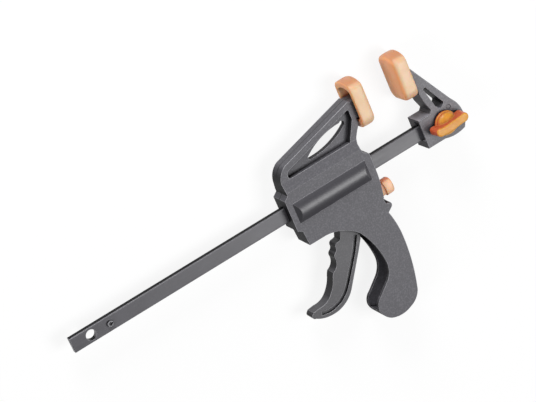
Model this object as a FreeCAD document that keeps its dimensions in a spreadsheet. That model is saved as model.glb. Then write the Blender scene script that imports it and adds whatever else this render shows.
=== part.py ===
import FreeCAD, Part
import math
import os
import re
import Sketcher
from FreeCAD import Placement, Rotation, Vector

# Quick release bar clamp, in millimetres.
# X runs along the bar to the fixed jaw, Y towards the jaws, Z towards the knob.
# The origin is the centre of the hang hole, in the middle of the bar's thickness.

SIZES = {
    # Bar
    "bar_length": 290.5,
    "bar_width": 10.0,
    "bar_thickness": 4.5,
    "bar_bevel": 0.45,
    "hang_hole_inset": 13.3,
    "jaw_hole_inset": 12.0,
    "end_hole_diameter": 7.0,
    "stop_pin_distance": 13.4,
    "stop_pin_diameter": 4.0,
    "stop_pin_wall": 0.9,
    "stop_pin_slot": 0.9,
    "stop_pin_proud": 1.2,
    # Fixed jaw
    "jaw_thickness": 14.2,
    "jaw_block_length": 31.7,
    "jaw_end_wall": 3.0,
    "jaw_pad_reach": 3.4,
    "jaw_block_rise": 10.3,
    "jaw_arm_rise": 44.1,
    "jaw_socket_clearance": 0.1,
    "jaw_mouth_depth": 8.0,
    "jaw_mouth_rise": 8.7,
    "jaw_mouth_wall": 1.2,
    "jaw_edge_bevel": 0.4,
    "mark_radius": 1.5,
    "mark_depth": 0.3,
    # Knob, its screw, washer and nut
    "screw_diameter": 5.0,
    "screw_hole_clearance": 0.4,
    "thread_clearance": 0.05,
    "screw_reach": 6.5,
    "nut_height": 3.0,
    "nut_across_flats": 8.0,
    "nut_clearance": 0.1,
    "washer_thickness": 0.8,
    "washer_radius": 6.0,
    "knob_base_radius": 8.2,
    "knob_base_height": 1.8,
    "knob_wing_length": 25.6,
    "knob_wing_width": 6.4,
    "knob_height": 9.7,
    "knob_dome_radius": 6.9,
    "knob_dome_height": 5.6,
    "knob_round": 1.1,
    "seat_gap": 0.05,
    # Pads and the gap between them, with the head where it is packed
    "jaw_gap": 23.5,
    "pad_half_width": 10.8,
    "pad_height": 32.0,
    "pad_drop": 26.0,
    "pad_thickness": 9.8,
    "pad_corner": 5.0,
    "pad_round": 2.6,
    "pad_socket_depth": 6.6,
    "pad_socket_drop": 33.3,
    "pad_socket_rise": 18.0,
    "pad_fit": 0.2,
    "pad_stand_off": 3.1,
    "tongue_height": 12.0,
    # Head shell
    "head_length": 64.3,
    "grip_drop": 100.5,
    "arm_rise": 46.5,
    "shoulder_rise": 21.6,
    "shoulder_slope": 6.6,
    "collar_rise": 10.9,
    "collar_step": 3.2,
    "foot_drop": 23.3,
    "body_half_thickness": 8.1,
    "arm_half_thickness": 6.0,
    "arm_web": 2.0,
    "shell_wall": 2.2,
    "thumb_hollow_depth": 4.0,
    "slide_clearance": 0.2,
    "barrel_end_slope": 3.0,
    # Screws of the shell
    "shell_screw_diameter": 3.0,
    "shell_screw_head_diameter": 5.4,
    "shell_screw_head_height": 2.0,
    "shell_screw_length": 13.0,
    "shell_screw_clearance": 0.05,
    "boss_radius": 3.3,
    # Trigger and drive
    "trigger_half_thickness": 4.2,
    "trigger_pivot_drop": 18.0,
    "trigger_finger_rise": 9.5,
    "trigger_nose_radius": 2.0,
    "trigger_hub_radius": 5.8,
    "trigger_groove_width": 2.4,
    "trigger_groove_depth": 1.4,
    "trigger_pin_diameter": 4.0,
    "pin_clearance": 0.05,
    "pin_boss_radius": 4.0,
    "pin_boss_gap": 0.2,
    "pin_seat_depth": 1.4,
    "contact_gap": 0.1,
    "drive_plate_thickness": 1.5,
    "drive_plate_rise": 9.4,
    "drive_plate_drop": 10.6,
    "drive_travel": 4.1,
    "plate_half_width": 5.4,
    "plate_clearance": 0.1,
    "plate_corner": 1.0,
    # Springs
    "spring_bar_gap": 0.65,
    "spring_wall_gap": 0.95,
    "spring_seat_gap": 0.1,
    "drive_wire": 1.5,
    "drive_turns": 7.0,
    "brake_wire": 1.0,
    "brake_turns": 5.0,
    # Brake and release button
    "brake_pivot_rise": 8.6,
    "brake_plate_thickness": 2.5,
    "brake_plate_drop": 22.0,
    "brake_tilt": 4.0,
    "brake_tab_half_width": 3.0,
    "partition_wall": 3.0,
    "button_cap_length": 6.4,
    "button_cap_height": 10.9,
    "button_cap_half_width": 4.6,
    "button_neck_height": 8.0,
    "button_neck_half_width": 3.2,
    "button_round": 1.4,
    "button_clip_wall": 0.8,
    "button_slot_gap": 0.6,
    # One overrun for every cut
    "overrun": 1.0,
}

doc = FreeCAD.newDocument("quick_release_bar_clamp")
sheet = doc.addObject("Spreadsheet::Sheet", "Sizes")
for row, (alias, value) in enumerate(SIZES.items(), start=1):
    sheet.set(f"A{row}", alias)
    sheet.set(f"B{row}", str(value))
    sheet.setAlias(f"B{row}", alias)
doc.recompute()

MATHS = ("sin", "cos", "tan", "sqrt", "deg")


def number(text):
    """The value of a formula written with the sheet's aliases."""
    result = sheet.evalExpression(str(text))
    return float(getattr(result, "Value", result))


def formula(text):
    """The same formula as other objects of the document read it."""
    return re.sub(r"[a-z]\w*", lambda word: word.group() if word.group() in MATHS
                  else f"Sizes.{word.group()}", str(text))


# Formulas that several sub-parts share
BAR_END = "(bar_length - hang_hole_inset)"
JAW_HOLE = "(bar_length - hang_hole_inset - jaw_hole_inset)"
JAW_FRONT = f"({BAR_END} + jaw_end_wall)"
JAW_REAR = f"({JAW_FRONT} - jaw_block_length)"
FIXED_FACE = f"({JAW_REAR} - jaw_pad_reach)"
FIXED_BACK = f"({FIXED_FACE} + pad_thickness)"
BAR_HALF_DIAGONAL = "(sqrt(bar_width * bar_width + bar_thickness * bar_thickness) / 2)"
CHAMBER_RADIUS = f"({BAR_HALF_DIAGONAL} + spring_bar_gap + drive_wire + spring_wall_gap)"
BARREL_RADIUS = f"({CHAMBER_RADIUS} + shell_wall)"
CAVITY_HALF = "(body_half_thickness - shell_wall)"
MOVING_FACE = f"({FIXED_FACE} - jaw_gap)"
MOVING_BACK = f"({MOVING_FACE} - pad_thickness)"
HEAD_FRONT = f"({MOVING_BACK} - pad_stand_off)"
HEAD_REAR = f"({HEAD_FRONT} - head_length)"
PAD_SOCKET_HALF = "(arm_half_thickness + pad_fit)"
PIVOT_X = f"({HEAD_REAR} + 0.538 * head_length)"
PIVOT_Y = "(-trigger_pivot_drop)"
CHAMBER_REAR = f"({HEAD_REAR} + 0.092 * head_length)"
DRIVE_FRONT = PIVOT_X
DRIVE_REAR = f"({DRIVE_FRONT} - 2 * drive_plate_thickness)"
PARTITION_REAR = f"({HEAD_REAR} + 0.616 * head_length)"
PARTITION_FRONT = f"({PARTITION_REAR} + partition_wall)"
BRAKE_X = f"({HEAD_REAR} + 0.858 * head_length)"
BRAKE_REAR = f"({BRAKE_X} - brake_plate_thickness / 2)"

subparts = []


def new_body(label):
    body = doc.addObject("PartDesign::Body", label)
    body.Label = label
    subparts.append(body)
    return body


def new_sketch(body, plane="XY", offset=None):
    """A sketch on one of the body's own origin planes, moved along its normal by a formula."""
    sketch = body.newObject("Sketcher::SketchObject", f"{body.Name}_sketch")
    faces = {feature.Role: feature for feature in body.Origin.OriginFeatures}
    sketch.AttachmentSupport = [(faces[f"{plane}_Plane"], "")]
    sketch.MapMode = "FlatFace"
    if offset is not None:
        sketch.setExpression("AttachmentOffset.Base.z", formula(offset))
    return sketch


def bind(sketch, kind, text, *where):
    value = number(text)
    index = sketch.addConstraint(Sketcher.Constraint(kind, *where, value))
    sketch.setExpression(f"Constraints[{index}]", formula(text))


def outline(sketch, corners):
    """A closed outline. Each corner is (x, y), or (x, y, x, y) for an arc through the first
    point to the second. Every corner is bound to the sheet by its formulas."""
    first = sketch.GeometryCount
    ends = [corner[-2:] for corner in corners]
    starts = ends[-1:] + ends[:-1]
    tips = []
    for start, corner in zip(starts, corners):
        here = Vector(number(start[0]), number(start[1]), 0)
        there = Vector(number(corner[-2]), number(corner[-1]), 0)
        if len(corner) == 4:
            through = Vector(number(corner[0]), number(corner[1]), 0)
            edge = sketch.addGeometry(Part.Arc(here, through, there))
        else:
            edge = sketch.addGeometry(Part.LineSegment(here, there))
        forward = (sketch.getPoint(edge, 1) - here).Length < (sketch.getPoint(edge, 2) - here).Length
        tips.append((1, 2) if forward else (2, 1))
    count = len(corners)
    for step in range(count):
        following = (step + 1) % count
        sketch.addConstraint(Sketcher.Constraint(
            "Coincident", first + step, tips[step][1], first + following, tips[following][0]))
    for step in range(count):
        bind(sketch, "DistanceX", ends[step][0], -1, 1, first + step, tips[step][1])
        bind(sketch, "DistanceY", ends[step][1], -1, 1, first + step, tips[step][1])


def rectangle(sketch, left, bottom, right, top):
    outline(sketch, [(left, bottom), (right, bottom), (right, top), (left, top)])


def circle(sketch, x, y, radius):
    disc = Part.Circle(Vector(number(x), number(y), 0), Vector(0, 0, 1), number(radius))
    edge = sketch.addGeometry(disc)
    bind(sketch, "DistanceX", x, -1, 1, edge, 3)
    bind(sketch, "DistanceY", y, -1, 1, edge, 3)
    bind(sketch, "Radius", radius, edge)


def pad(body, sketch, length, symmetric=False, reverse=False):
    feature = body.newObject("PartDesign::Pad", f"{body.Name}_block")
    feature.Profile = sketch
    feature.setExpression("Length", formula(length))
    feature.SideType = "Symmetric" if symmetric else "One side"
    feature.Reversed = reverse
    doc.recompute()
    return feature


def pocket(body, sketch, length, symmetric=False, reverse=False):
    """A cut of a bound depth. A cut that takes nothing away stops the build."""
    before = body.Shape.Volume
    feature = body.newObject("PartDesign::Pocket", f"{body.Name}_cut")
    feature.Profile = sketch
    feature.setExpression("Length", formula(length))
    feature.SideType = "Symmetric" if symmetric else "One side"
    feature.Reversed = reverse
    doc.recompute()
    if not feature.Shape.Volume < before:
        raise RuntimeError(f"{feature.Name} of {body.Label} cuts nothing")
    return feature


def edges_at(shape, axis, text):
    """Names of the edges that lie in the plane where the given axis has the formula's value."""
    level = number(text)
    names = []
    for index, edge in enumerate(shape.Edges, start=1):
        low = getattr(edge.BoundBox, f"{axis}Min")
        high = getattr(edge.BoundBox, f"{axis}Max")
        if math.isclose(low, level, abs_tol=1e-4) and math.isclose(high, level, abs_tol=1e-4):
            names.append(f"Edge{index}")
    return names


def round_edges(body, names, radius, kind="Fillet"):
    feature = body.newObject(f"PartDesign::{kind}", f"{body.Name}_{kind.lower()}")
    tip = body.Group[-2]
    feature.Base = (tip, names)
    feature.setExpression("Radius" if kind == "Fillet" else "Size", formula(radius))
    doc.recompute()
    return feature


def head_x(share):
    return f"({HEAD_REAR} + {share} * head_length)"


def head_point(x_share, y_share):
    """A place on the head: shares of its length, and of its arm's rise or its grip's drop."""
    span = "arm_rise" if y_share > 0 else "grip_drop"
    return head_x(x_share), f"({y_share} * {span})"


def head_points(shares):
    """Outline corners of the head from rows of two shares, or of four for an arc."""
    corners = []
    for row in shares:
        corner = head_point(*row[:2])
        if len(row) == 4:
            corner += head_point(*row[2:])
        corners.append(corner)
    return corners


def jaw_point(x_share, y_share):
    """A place on the fixed jaw: shares of its length, and of its arm's or block's rise."""
    span = "jaw_arm_rise" if y_share > 0 else "jaw_block_rise"
    return f"({JAW_REAR} + {x_share} * jaw_block_length)", f"({y_share} * {span})"


def jaw_points(shares):
    corners = []
    for row in shares:
        corner = jaw_point(*row[:2])
        if len(row) == 4:
            corner += jaw_point(*row[2:])
        corners.append(corner)
    return corners


# Flat bar with a hole near each end and a cross hole for the stop pin
def make_bar():
    body = new_body("bar")
    face = new_sketch(body)
    rectangle(face, "-hang_hole_inset", "-bar_width / 2", BAR_END, "bar_width / 2")
    bar = pad(body, face, "bar_thickness", symmetric=True)
    edges = edges_at(bar.Shape, "Z", "bar_thickness / 2")
    edges += edges_at(bar.Shape, "Z", "-bar_thickness / 2")
    round_edges(body, edges, "bar_bevel", "Chamfer")
    holes = new_sketch(body)
    circle(holes, "0", "0", "end_hole_diameter / 2")
    circle(holes, JAW_HOLE, "0", "end_hole_diameter / 2")
    circle(holes, "stop_pin_distance", "0", "stop_pin_diameter / 2 + seat_gap / 2")
    pocket(body, holes, "bar_thickness + overrun", symmetric=True)


# Slotted tube driven through the bar, proud of both faces
def make_stop_pin():
    body = new_body("stop_pin")
    ring = new_sketch(body)
    circle(ring, "stop_pin_distance", "0", "stop_pin_diameter / 2")
    circle(ring, "stop_pin_distance", "0", "stop_pin_diameter / 2 - stop_pin_wall")
    pad(body, ring, "bar_thickness + 2 * stop_pin_proud", symmetric=True)
    slot = new_sketch(body)
    rectangle(slot, "stop_pin_distance", "-stop_pin_slot / 2",
              "stop_pin_distance + stop_pin_diameter", "stop_pin_slot / 2")
    pocket(body, slot, "bar_thickness + 2 * stop_pin_proud + overrun", symmetric=True)


# Fixed jaw: a block socketed on the bar's end, with an arm and a wedge-shaped window
JAW_BLOCK_SHARES = [
    (0.0, -1.0),
    (0.426, -1.0),
    (0.637, -1.126, 0.918, -1.01),
    (0.968, -0.728),
    (1.0, -0.068, 0.912, 0.204),
]
JAW_ARM_SHARES = [
    (0.833, 0.286),
    (0.252, 1.0),
    (0.226, 0.980),
    (0.224, 0.580),
    (0.274, 0.410),
    (0.345, 0.277),
]
JAW_WINDOW_SHARES = [
    (0.352, 0.610),
    (0.387, 0.634, 0.423, 0.617),
    (0.655, 0.305),
    (0.662, 0.283, 0.645, 0.264),
    (0.578, 0.232),
    (0.540, 0.226, 0.508, 0.243),
    (0.461, 0.302),
    (0.416, 0.438),
]


def make_fixed_jaw():
    body = new_body("fixed_jaw")
    side = new_sketch(body)
    corners = jaw_points(JAW_BLOCK_SHARES + JAW_ARM_SHARES)
    corners.append((f"({JAW_REAR} + 0.290 * jaw_block_length)", "jaw_block_rise"))
    corners.append((JAW_REAR, "jaw_block_rise"))
    outline(side, corners)
    block = pad(body, side, "jaw_thickness", symmetric=True)
    edges = edges_at(block.Shape, "Z", "jaw_thickness / 2")
    edges += edges_at(block.Shape, "Z", "-jaw_thickness / 2")
    round_edges(body, edges, "jaw_edge_bevel", "Chamfer")
    tongue = new_sketch(body)
    rectangle(tongue, f"{FIXED_BACK} - pad_socket_depth + pad_fit", "pad_socket_drop + pad_fit",
              f"{FIXED_BACK} + 2 * pad_fit + 0.05 * jaw_block_length",
              "pad_socket_drop + 0.75 * tongue_height")
    pad(body, tongue, "2 * arm_half_thickness", symmetric=True)
    window = new_sketch(body)
    outline(window, jaw_points(JAW_WINDOW_SHARES))
    pocket(body, window, "jaw_thickness + overrun", symmetric=True)
    socket = new_sketch(body, "YZ", f"{JAW_REAR} - overrun")
    rectangle(socket, "-bar_width / 2 - jaw_socket_clearance",
              "-bar_thickness / 2 - jaw_socket_clearance",
              "bar_width / 2 + jaw_socket_clearance",
              "bar_thickness / 2 + jaw_socket_clearance")
    pocket(body, socket, "jaw_block_length - jaw_end_wall + overrun + jaw_socket_clearance",
           reverse=True)
    mouth = new_sketch(body, "YZ", f"{JAW_REAR} - overrun")
    rectangle(mouth, "-bar_width / 2 - jaw_socket_clearance", "0", "jaw_mouth_rise",
              "jaw_thickness / 2 - jaw_mouth_wall")
    pocket(body, mouth, "jaw_mouth_depth + overrun", reverse=True)
    bore = new_sketch(body)
    circle(bore, JAW_HOLE, "0", "screw_diameter / 2 + screw_hole_clearance")
    pocket(body, bore, "jaw_thickness + overrun", symmetric=True)
    trap = new_sketch(body, "XY", "-jaw_thickness / 2")
    hexagon(trap, JAW_HOLE, "0", "nut_across_flats / 2 + nut_clearance")
    pocket(body, trap, "nut_height + nut_clearance", reverse=True)
    mark = new_sketch(body, "XY", "jaw_thickness / 2")
    x, y = jaw_point(0.735, 0.184)
    circle(mark, x, y, "mark_radius")
    pocket(body, mark, "mark_depth")


def hexagon(sketch, x, y, apothem):
    """A hexagon with two flats across the Y axis, from its centre to the middle of a flat."""
    corners = []
    for step in range(6):
        turn = math.radians(60 * step)
        reach = f"({apothem}) / {math.cos(math.pi / 6)}"
        corners.append((f"{x} + {math.cos(turn):.9f} * {reach}", f"{y} + {math.sin(turn):.9f} * {reach}"))
    outline(sketch, corners)


def make_jaw_nut():
    body = new_body("jaw_nut")
    face = new_sketch(body, "XY", "-jaw_thickness / 2")
    hexagon(face, JAW_HOLE, "0", "nut_across_flats / 2")
    circle(face, JAW_HOLE, "0", "screw_diameter / 2 + thread_clearance")
    pad(body, face, "nut_height")


# Knob stack above the jaw's near face: washer, knob and the stud moulded into it
WASHER_BASE = "(jaw_thickness / 2 + seat_gap)"
KNOB_BASE = f"({WASHER_BASE} + washer_thickness + seat_gap)"
KNOB_TOP = f"({KNOB_BASE} + knob_height)"
STUD_TOP = f"({KNOB_BASE} + 0.6 * knob_height)"
WING_SHARES = [
    (0.0, -0.52, 0.43, -0.32),
    (0.50, 0.06, 0.42, 0.40),
    (0.0, 0.52, -0.43, 0.32),
    (-0.50, -0.06, -0.42, -0.40),
]


def make_knob_washer():
    body = new_body("knob_washer")
    ring = new_sketch(body, "XY", WASHER_BASE)
    circle(ring, JAW_HOLE, "0", "washer_radius")
    circle(ring, JAW_HOLE, "0", "screw_diameter / 2 + pin_clearance")
    pad(body, ring, "washer_thickness")


def make_knob_screw():
    body = new_body("knob_screw")
    stud = new_sketch(body, "XY", "-screw_reach")
    circle(stud, JAW_HOLE, "0", "screw_diameter / 2")
    shank = pad(body, stud, f"screw_reach + {STUD_TOP}")
    round_edges(body, edges_at(shank.Shape, "Z", "-screw_reach"), "thread_clearance * 10", "Chamfer")


def wing_point(x_share, y_share):
    return f"({JAW_HOLE} + {x_share} * knob_wing_length)", f"({y_share} * knob_wing_width)"


def make_jaw_knob():
    body = new_body("jaw_knob")
    base = new_sketch(body, "XY", KNOB_BASE)
    circle(base, JAW_HOLE, "0", "knob_base_radius")
    pad(body, base, "knob_base_height")
    dome = new_sketch(body, "XY", f"{KNOB_BASE} + knob_base_height")
    circle(dome, JAW_HOLE, "0", "knob_dome_radius")
    pad(body, dome, "knob_dome_height")
    rim = edges_at(body.Shape, "Z", f"{KNOB_BASE} + knob_base_height + knob_dome_height")
    round_edges(body, rim, "0.4 * knob_dome_radius", "Chamfer")
    wing = new_sketch(body, "XY", f"{KNOB_BASE} + 0.5 * knob_base_height")
    outline(wing, [wing_point(*row[:2]) + wing_point(*row[2:]) for row in WING_SHARES])
    pad(body, wing, "knob_height - 0.5 * knob_base_height")
    round_edges(body, edges_at(body.Shape, "Z", KNOB_TOP), "knob_round", "Chamfer")
    bore = new_sketch(body, "XY", KNOB_BASE)
    circle(bore, JAW_HOLE, "0", "screw_diameter / 2 + seat_gap")
    pocket(body, bore, f"{STUD_TOP} - {KNOB_BASE} + seat_gap", reverse=True)


# Soft pads, alike, each with a socket in its back that takes the arm's tongue
PAD_TOP_SHARES = [
    (0.561, 1.0),
    (0.331, 0.935),
    (0.185, 0.759),
]
CORNER_SHARE = round(1 - math.sqrt(0.5), 4)


def make_pad(label, back, face):
    body = new_body(label)
    low = back if number(face) > number(back) else face
    front = new_sketch(body, "YZ", low)
    top = "(pad_drop + pad_height)"
    left = [(f"{top} - {drop} * pad_half_width", f"-{reach} * pad_half_width")
            for drop, reach in PAD_TOP_SHARES]
    right = [(y, z[1:]) for y, z in reversed(left)]
    outline(front, [
        left[0],
        left[1] + left[2],
        (top, "0") + right[0],
        right[1] + right[2],
        ("pad_drop + pad_corner", "pad_half_width"),
        (f"pad_drop + {CORNER_SHARE} * pad_corner", f"pad_half_width - {CORNER_SHARE} * pad_corner",
         "pad_drop", "pad_half_width - pad_corner"),
        ("pad_drop", "-pad_half_width + pad_corner"),
        (f"pad_drop + {CORNER_SHARE} * pad_corner", f"-pad_half_width + {CORNER_SHARE} * pad_corner",
         "pad_drop + pad_corner", "-pad_half_width"),
    ])
    block = pad(body, front, "pad_thickness")
    round_edges(body, edges_at(block.Shape, "X", face), "pad_round")
    socket = new_sketch(body, "YZ", back)
    top = f"(pad_socket_drop + pad_socket_rise - {PAD_SOCKET_HALF})"
    outline(socket, [
        (top, f"-{PAD_SOCKET_HALF}"),
        (f"{top} + {PAD_SOCKET_HALF}", "0", top, PAD_SOCKET_HALF),
        ("pad_socket_drop", PAD_SOCKET_HALF),
        ("pad_socket_drop", f"-{PAD_SOCKET_HALF}"),
    ])
    pocket(body, socket, "pad_socket_depth", reverse=number(face) > number(back))


# Head shell: two halves that meet in the middle plane
BODY_SHARES = [
    (0.250, -0.233),
    (0.445, -0.270, 0.594, -0.350),
    (0.684, -0.476, 0.726, -0.611),
    (0.709, -0.687, 0.652, -0.741),
    (0.526, -0.810),
    (0.471, -0.845, 0.454, -0.886),
    (0.481, -0.938, 0.546, -0.981),
    (0.667, -1.000, 0.790, -0.984),
    (0.874, -0.952, 0.924, -0.9025),
    (0.983, -0.7065, 0.997, -0.4876),
    (0.980, -0.403, 0.952, -0.328),
    (1.005, -0.3025),
    (1.017, -0.2876, 1.003, -0.2677),
    (0.964, -0.2239),
    (0.991, -0.1224, 1.0, -0.030),
]
ARM_SHARES = [
    (0.050, 0.262),
    (0.050, 0.462),
    (0.081, 0.570, 0.157, 0.663),
    (1.012, 0.996),
    (1.022, 0.990, 1.025, 0.974),
    (1.025, 0.630),
    (0.984, 0.553),
    (0.953, 0.484),
    (0.932, 0.406),
    (0.932, 0.331),
    (0.9425, 0.262),
]
RECESS_SHARES = [
    (0.170, 0.4645),
    (0.1525, 0.4745, 0.146, 0.500),
    (0.153, 0.548, 0.199, 0.587),
    (0.963, 0.890),
    (0.980, 0.885, 0.983, 0.867),
    (0.983, 0.744),
    (0.869, 0.4645),
]
LENS_SHARES = [
    (0.616, 0.701, 0.868, 0.757),
    (0.921, 0.7355, 0.902, 0.6925),
    (0.717, 0.570, 0.460, 0.5225),
    (0.4355, 0.5355, 0.434, 0.566),
]
SCREW_SHARES = [
    (0.180, -0.172),
    (0.128, 0.2645),
    (0.858, 0.2645),
    (0.857, -0.448),
    (0.740, -0.905),
]
THUMB_HOLLOW_SHARES = [
    (0.956, -0.226),
    (0.954, -0.245),
    (0.963, -0.2655),
    (0.9876, -0.2716),
    (1.012, -0.2756),
    (1.016, -0.2500),
    (0.978, -0.214),
]
FRONT_WALL_SHARES = [
    (0.667, -1.000),
    (0.790, -0.984),
    (0.874, -0.952),
    (0.924, -0.9025),
    (0.983, -0.7065),
    (0.997, -0.4876),
    (0.980, -0.403),
    (0.952, -0.328),
    (0.972, -0.290),
    (0.964, -0.2239),
    (0.991, -0.1224),
]


def body_corners():
    body_x = f"({HEAD_REAR} + collar_step)"
    corners = [
        (body_x, "shoulder_rise"),
        (body_x, "collar_rise + 0.75 * collar_step"),
        (HEAD_REAR, "collar_rise"),
        (HEAD_REAR, "-collar_rise"),
        (body_x, "-collar_rise - 0.6 * collar_step"),
        (f"{body_x} + 0.2 * collar_step", "-foot_drop"),
    ]
    corners += head_points(BODY_SHARES)
    corners.append((HEAD_FRONT, "0.87 * collar_rise"))
    corners += head_points([(0.9425, 0.262), (0.932, 0.331), (0.932, 0.406)])
    corners.append((head_x(0.947), "shoulder_rise"))
    return corners


def cavity_corners():
    """The trigger's bay and the grip's channel, open towards the trigger, one wall inside."""
    corners = head_points([(0.3126, -0.105), (0.3126, -0.350), (0.49, -0.52), (0.57, -0.66),
                           (0.36, -0.82), (0.36, -0.86), (0.505, -0.915)])
    for x_share, y_share in FRONT_WALL_SHARES:
        x, y = head_point(x_share, y_share)
        inward = "shell_wall" if y_share > -0.95 else "0.5 * shell_wall"
        upward = "shell_wall" if y_share <= -0.95 else "0"
        corners.append((f"{x} - {inward}", f"{y} + {upward}"))
    corners.append(head_point(0.965, -0.105))
    return corners


def make_shell(label, side):
    """One half of the head. Side is 1 for the half towards the knob and -1 for the other."""
    body = new_body(label)
    near = side > 0
    flank = new_sketch(body)
    outline(flank, body_corners())
    pad(body, flank, "body_half_thickness", reverse=not near)
    arm = new_sketch(body)
    outline(arm, head_points(ARM_SHARES))
    pad(body, arm, "arm_half_thickness", reverse=not near)
    tongue = new_sketch(body)
    rectangle(tongue, head_x(1.0), "pad_socket_drop + pad_fit",
              f"{MOVING_BACK} + pad_socket_depth - pad_fit",
              "pad_socket_drop + pad_fit + tongue_height")
    pad(body, tongue, "arm_half_thickness", reverse=not near)
    barrel = new_sketch(body, "YZ", head_x(0.0575))
    outline(barrel, [
        (BARREL_RADIUS, "0"),
        ("0", f"{side} * {BARREL_RADIUS}", f"-{BARREL_RADIUS}", "0"),
    ])
    pad(body, barrel, "0.868 * head_length")
    slopes = new_sketch(body, "XZ")
    for end, inward in ((head_x(0.0575), 1), (head_x(0.9255), -1)):
        outline(slopes, [
            (f"{end} - {inward} * overrun", f"{side} * body_half_thickness"),
            (end, f"{side} * body_half_thickness"),
            (f"{end} + {inward} * barrel_end_slope", f"{side} * {BARREL_RADIUS}"),
            (f"{end} + {inward} * barrel_end_slope", f"{side} * ({BARREL_RADIUS} + overrun)"),
            (f"{end} - {inward} * overrun", f"{side} * ({BARREL_RADIUS} + overrun)"),
        ])
    pocket(body, slopes, f"2 * {BARREL_RADIUS}", symmetric=True)
    shoulder = new_sketch(body, "YZ", f"{HEAD_REAR} - overrun")
    outline(shoulder, [
        ("shoulder_rise - shoulder_slope", f"{side} * body_half_thickness"),
        ("shoulder_rise", f"{side} * arm_half_thickness"),
        ("shoulder_rise + overrun", f"{side} * arm_half_thickness"),
        ("shoulder_rise + overrun", f"{side} * (body_half_thickness + overrun)"),
        ("shoulder_rise - shoulder_slope", f"{side} * (body_half_thickness + overrun)"),
    ])
    pocket(body, shoulder, "head_length + 2 * overrun", reverse=True)
    recess = new_sketch(body, "XY", f"{side} * arm_web")
    outline(recess, head_points(RECESS_SHARES))
    pocket(body, recess, "body_half_thickness", reverse=near)
    lens = new_sketch(body)
    outline(lens, head_points(LENS_SHARES))
    pocket(body, lens, "2 * body_half_thickness", symmetric=True)
    if near:
        hollow = new_sketch(body, "XY", "body_half_thickness - thumb_hollow_depth")
        outline(hollow, head_points(THUMB_HOLLOW_SHARES))
        pocket(body, hollow, "thumb_hollow_depth + overrun", reverse=True)
    cut_chambers(body, near)
    add_bosses(body, side)
    return body


def cut_chambers(body, near):
    """The hollows for the bar, springs, plates, trigger and button."""
    slot = new_sketch(body, "YZ", f"{HEAD_REAR} - overrun")
    rectangle(slot, "-bar_width / 2 - slide_clearance", "-bar_thickness / 2 - slide_clearance",
              "bar_width / 2 + slide_clearance", "bar_thickness / 2 + slide_clearance")
    pocket(body, slot, "head_length + 2 * overrun", reverse=True)
    for start, end in ((CHAMBER_REAR, PARTITION_REAR), (PARTITION_FRONT, BRAKE_REAR)):
        bore = new_sketch(body, "YZ", start)
        circle(bore, "0", "0", CHAMBER_RADIUS)
        pocket(body, bore, f"{end} - {start}", reverse=True)
    hollow = new_sketch(body)
    outline(hollow, cavity_corners())
    pocket(body, hollow, CAVITY_HALF, reverse=near)
    bays = new_sketch(body)
    rectangle(bays, f"{DRIVE_REAR} - drive_travel - 2 * slide_clearance",
              "-drive_plate_drop - 2 * slide_clearance", PARTITION_REAR,
              "drive_plate_rise + 2 * slide_clearance")
    pocket(body, bays, CAVITY_HALF, reverse=near)
    brake = new_sketch(body)
    outline(brake, [
        (f"{BRAKE_REAR} - 2 * slide_clearance", "-foot_drop / 2"),
        (head_x(0.965), "-foot_drop / 2"),
        (head_x(0.965), "0.75 * brake_pivot_rise"),
        (f"{BRAKE_X} + brake_plate_thickness / 2 + 2 * slide_clearance", "0.75 * brake_pivot_rise"),
        (f"{BRAKE_X} + brake_plate_thickness / 2 + 2 * slide_clearance",
         "brake_pivot_rise + slide_clearance"),
        (f"{BRAKE_REAR} - 2 * slide_clearance", "brake_pivot_rise + slide_clearance"),
    ])
    pocket(body, brake, CAVITY_HALF, reverse=near)
    window = new_sketch(body)
    low, high = button_slot()
    rectangle(window, f"{HEAD_FRONT} - 2.5 * shell_wall", low, f"{HEAD_FRONT} + overrun", high)
    pocket(body, window, "button_neck_half_width + button_slot_gap", reverse=near)
    upper = new_sketch(body)
    rectangle(upper, head_x(0.212), "collar_rise + 0.6 * shell_wall", head_x(0.775),
              "shoulder_rise - 1.3 * shell_wall")
    pocket(body, upper, "arm_half_thickness - 0.8 * shell_wall", reverse=near)
    lower = new_sketch(body)
    rectangle(lower, head_x(0.092), "-foot_drop + shell_wall", f"{head_x(0.3126)} - shell_wall",
              "-collar_rise")
    pocket(body, lower, CAVITY_HALF, reverse=near)


def add_bosses(body, side):
    """Bosses for the shell's screws and the trigger's pin, with their holes."""
    near = side > 0
    columns = new_sketch(body)
    for shares in SCREW_SHARES:
        circle(columns, *head_point(*shares), "boss_radius")
    pad(body, columns, CAVITY_HALF, reverse=not near)
    ring = new_sketch(body, "XY", f"{side} * (trigger_half_thickness + pin_boss_gap)")
    circle(ring, PIVOT_X, PIVOT_Y, "pin_boss_radius")
    pad(body, ring, f"{CAVITY_HALF} - trigger_half_thickness - pin_boss_gap", reverse=not near)
    seat = new_sketch(body)
    circle(seat, PIVOT_X, PIVOT_Y, "trigger_pin_diameter / 2 + pin_clearance")
    pocket(body, seat, f"{CAVITY_HALF} + pin_seat_depth", reverse=near)
    pilot = new_sketch(body)
    for shares in SCREW_SHARES:
        circle(pilot, *head_point(*shares), "shell_screw_diameter / 2 + shell_screw_clearance")
    if near:
        pocket(body, pilot, CAVITY_HALF, reverse=True)
        return
    pocket(body, pilot, "body_half_thickness + overrun")
    counterbore = new_sketch(body, "XY", "-body_half_thickness")
    for shares in SCREW_SHARES:
        circle(counterbore, *head_point(*shares),
               "shell_screw_head_diameter / 2 + shell_screw_clearance")
    pocket(body, counterbore, "shell_screw_head_height", reverse=True)


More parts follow.
